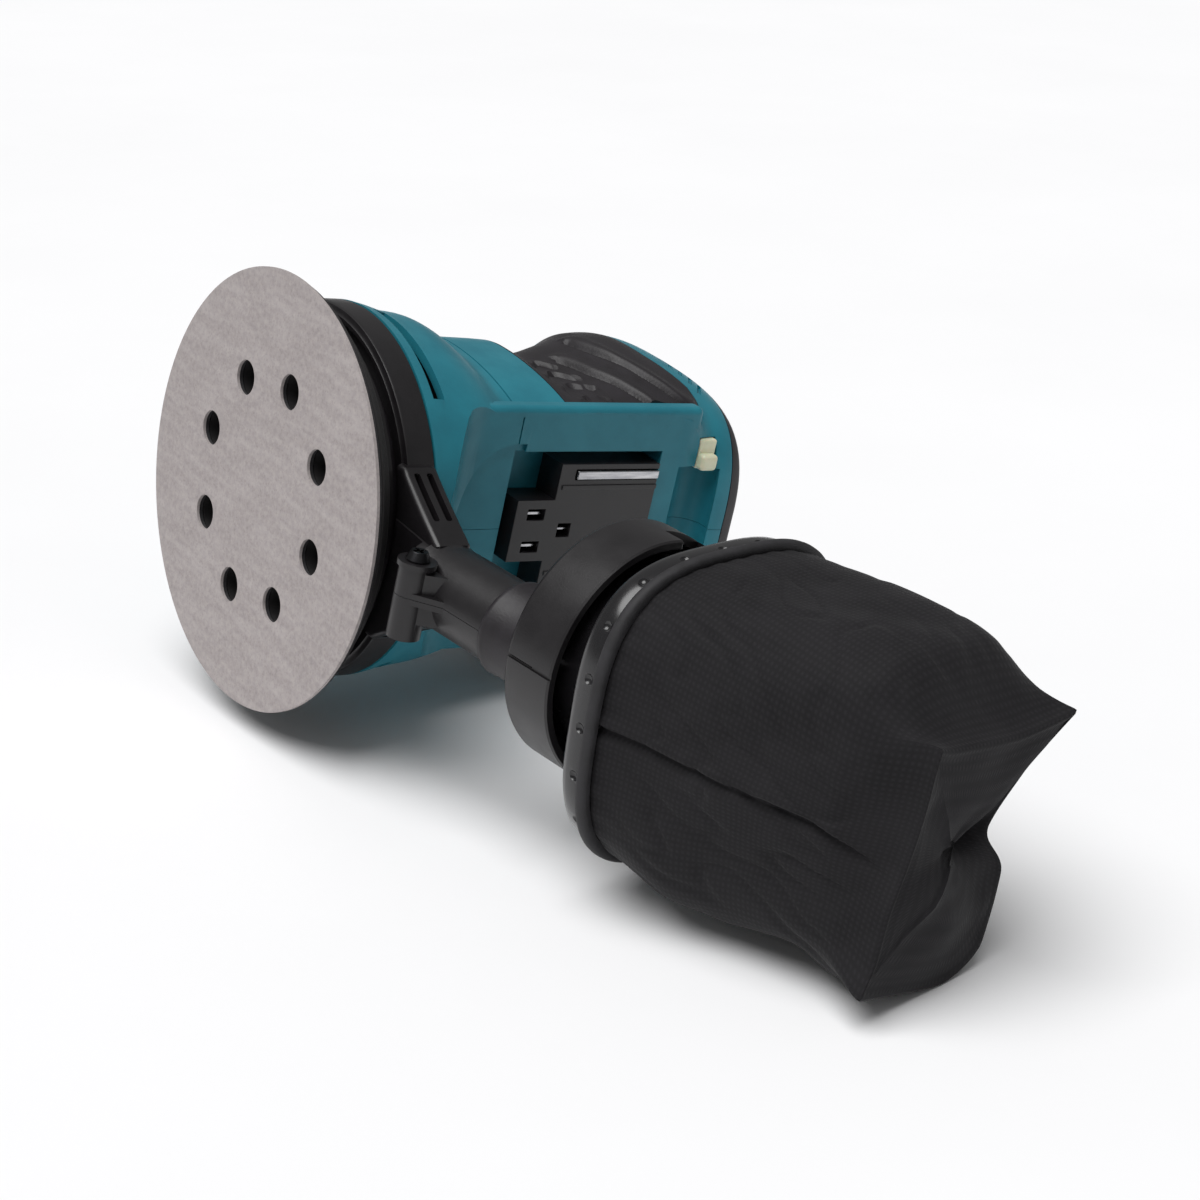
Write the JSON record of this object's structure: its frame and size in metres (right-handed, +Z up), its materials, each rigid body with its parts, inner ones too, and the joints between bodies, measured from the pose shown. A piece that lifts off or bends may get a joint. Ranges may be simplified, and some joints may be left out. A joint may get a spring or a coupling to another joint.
{
  "type": "orbital sander",
  "caption": "Palm-grip cordless random-orbit sander with a perforated round pad, an open slide-on battery bay and a square-mouthed cloth dust bag on a rear nozzle.",
  "frame": {"origin": "point where the motor axis meets the plane of the abrasive face", "axes": "+Z up along the motor axis from the pad to the palm grip; +X to the rear, where the battery slides on and the dust bag hangs; the casing parts on the plane Y = 0"},
  "size_m": [0.2953, 0.125, 0.153],
  "materials": {
    "teal_abs": "satin",
    "black_nylon": "satin",
    "black_rubber": "matte",
    "steel": "satin",
    "black_steel": "satin",
    "aluminium": "satin",
    "copper": "satin",
    "brass": "satin",
    "carbon": "matte",
    "ferrite": "matte",
    "natural_nylon": "satin",
    "circuit_board": "satin",
    "red_lens": "gloss",
    "abrasive_paper": "matte",
    "hook_fabric": "matte",
    "grey_foam": "matte",
    "black_polyester": "matte"
  },
  "bodies": {
    "casing": {"battery_cushion_left": "natural_nylon", "battery_cushion_right": "natural_nylon", "battery_rail_left": "steel", "battery_rail_right": "steel", "bearing_plate": "aluminium", "brush_holder_left": "brass", "brush_holder_right": "brass", "clamp_screw": "black_steel", "contact_negative": "steel", "contact_positive": "steel", "contact_signal": "steel", "controller_board": "circuit_board", "end_bell": "black_nylon", "grip_left": "black_rubber", "grip_right": "black_rubber", "housing_left": "teal_abs", "housing_right": "teal_abs", "housing_screw_1": "black_steel", "housing_screw_2": "black_steel", "housing_screw_3": "black_steel", "housing_screw_4": "black_steel", "lower_bearing_outer": "steel", "magnet_front": "ferrite", "magnet_rear": "ferrite", "motor_can": "black_steel", "pad_brake_ring": "black_rubber", "palm_pad": "black_rubber", "skirt_left": "black_nylon", "skirt_right": "black_nylon", "speed_lamp": "red_lens", "switch_panel": "black_nylon", "terminal_block": "black_nylon", "upper_bearing_outer": "steel"},
    "rotor": {"motor_shaft": "steel", "armature_core": "black_steel", "armature_winding_lower": "copper", "armature_winding_upper": "copper", "commutator": "copper", "fan": "black_nylon", "eccentric_hub": "aluminium", "lower_bearing_inner": "steel", "upper_bearing_inner": "steel", "pad_bearing_outer": "steel"},
    "pad": {"pad_plate": "black_nylon", "pad_foam": "grey_foam", "hook_face": "hook_fabric", "abrasive_disc": "abrasive_paper", "pad_bolt": "black_steel", "pad_spindle": "steel", "pad_bearing_inner": "steel"},
    "power_button": {"power_button": "black_rubber"},
    "speed_button": {"speed_button": "black_rubber"},
    "brush_left": {"carbon_brush_left": "carbon"},
    "brush_right": {"carbon_brush_right": "carbon"},
    "collar": {"collar": "black_nylon", "inlet_sleeve": "black_rubber"},
    "bag": {"bag_frame": "black_nylon", "dust_bag": "black_polyester"}
  },
  "joints": [
    {"name": "motor_spin", "type": "hinge", "parent": "casing", "child": "rotor", "pos_m": [0, 0, 0], "axis": [0, 0, 1], "continuous": true},
    {"name": "pad_spin", "type": "hinge", "parent": "rotor", "child": "pad", "pos_m": [0.0014, 0, 0], "axis": [0, 0, 1], "continuous": true},
    {"name": "power_press", "type": "slide", "parent": "casing", "child": "power_button", "axis": [1, 0, 0], "range_m": [0, 0.0012], "stiffness_N_per_m": 400, "springref_m": -0.001},
    {"name": "speed_press", "type": "slide", "parent": "casing", "child": "speed_button", "axis": [1, 0, 0], "range_m": [0, 0.001], "stiffness_N_per_m": 300, "springref_m": -0.001},
    {"name": "brush_left_slide", "type": "slide", "parent": "casing", "child": "brush_left", "axis": [0, -1, 0], "range_m": [0, 0.003], "stiffness_N_per_m": 100, "springref_m": -0.004},
    {"name": "brush_right_slide", "type": "slide", "parent": "casing", "child": "brush_right", "axis": [0, 1, 0], "range_m": [0, 0.003], "stiffness_N_per_m": 100, "springref_m": -0.004},
    {"name": "collar_pull", "type": "slide", "parent": "casing", "child": "collar", "axis": [0.9914, 0, 0.1305], "range_m": [0, 0.03]},
    {"name": "bag_twist", "type": "hinge", "parent": "collar", "child": "bag", "pos_m": [0.1084, 0, 0.0446], "axis": [0.9914, 0, 0.1305], "range_deg": [0, 40]}
  ]
}
